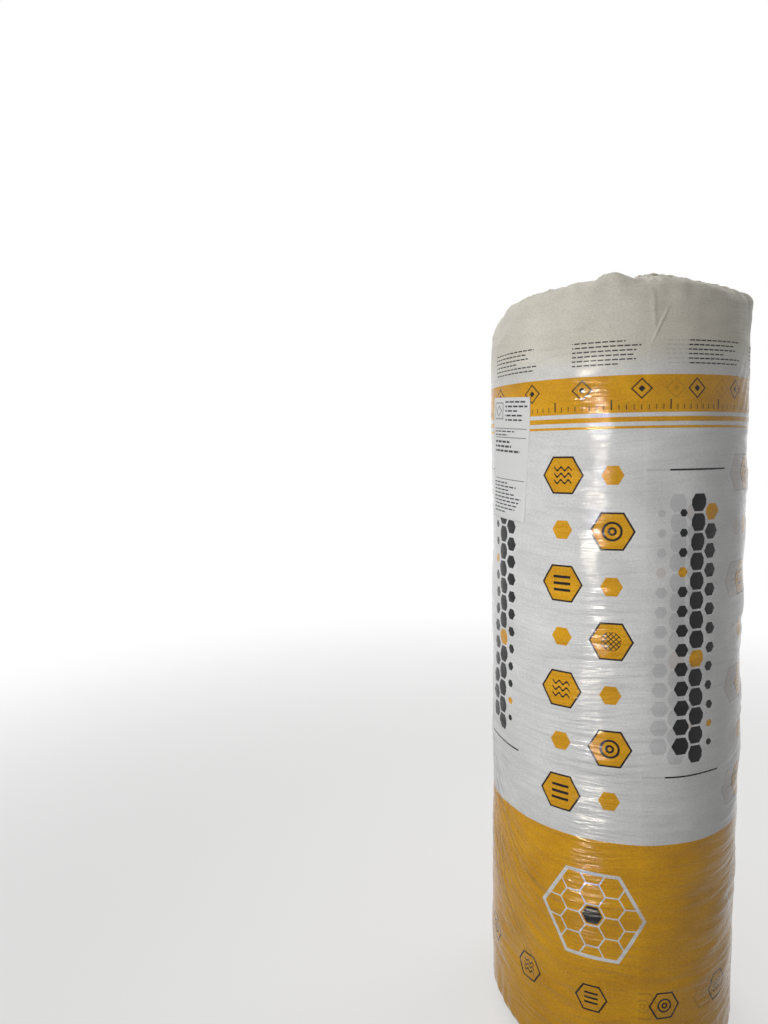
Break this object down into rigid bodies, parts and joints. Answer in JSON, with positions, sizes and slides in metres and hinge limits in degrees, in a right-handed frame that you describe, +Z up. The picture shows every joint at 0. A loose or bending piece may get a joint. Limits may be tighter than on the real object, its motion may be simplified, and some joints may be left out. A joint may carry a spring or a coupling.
{
  "type": "insulation roll",
  "caption": "Roll of glass-wool felt standing on its end, wrapped in glossy white and yellow printed film that is folded in over both ends, with a paper label.",
  "frame": {"origin": "centre of the base, on the floor under the roll's axis", "axes": "+Z up along the roll's axis, -Y towards the front, where the film's lap edge stands just to the right, +X to the right as seen from the front"},
  "size_m": [0.4, 0.3999, 1.206],
  "materials": {
    "glass_wool": "matte, fibrous",
    "printed_film": "glossy polyethylene film, printed, finely wrinkled",
    "label_paper": "smooth coated paper"
  },
  "bodies": {
    "root": {"wool_roll": "glass_wool", "film_sleeve": "printed_film", "label": "label_paper"}
  },
  "joints": []
}
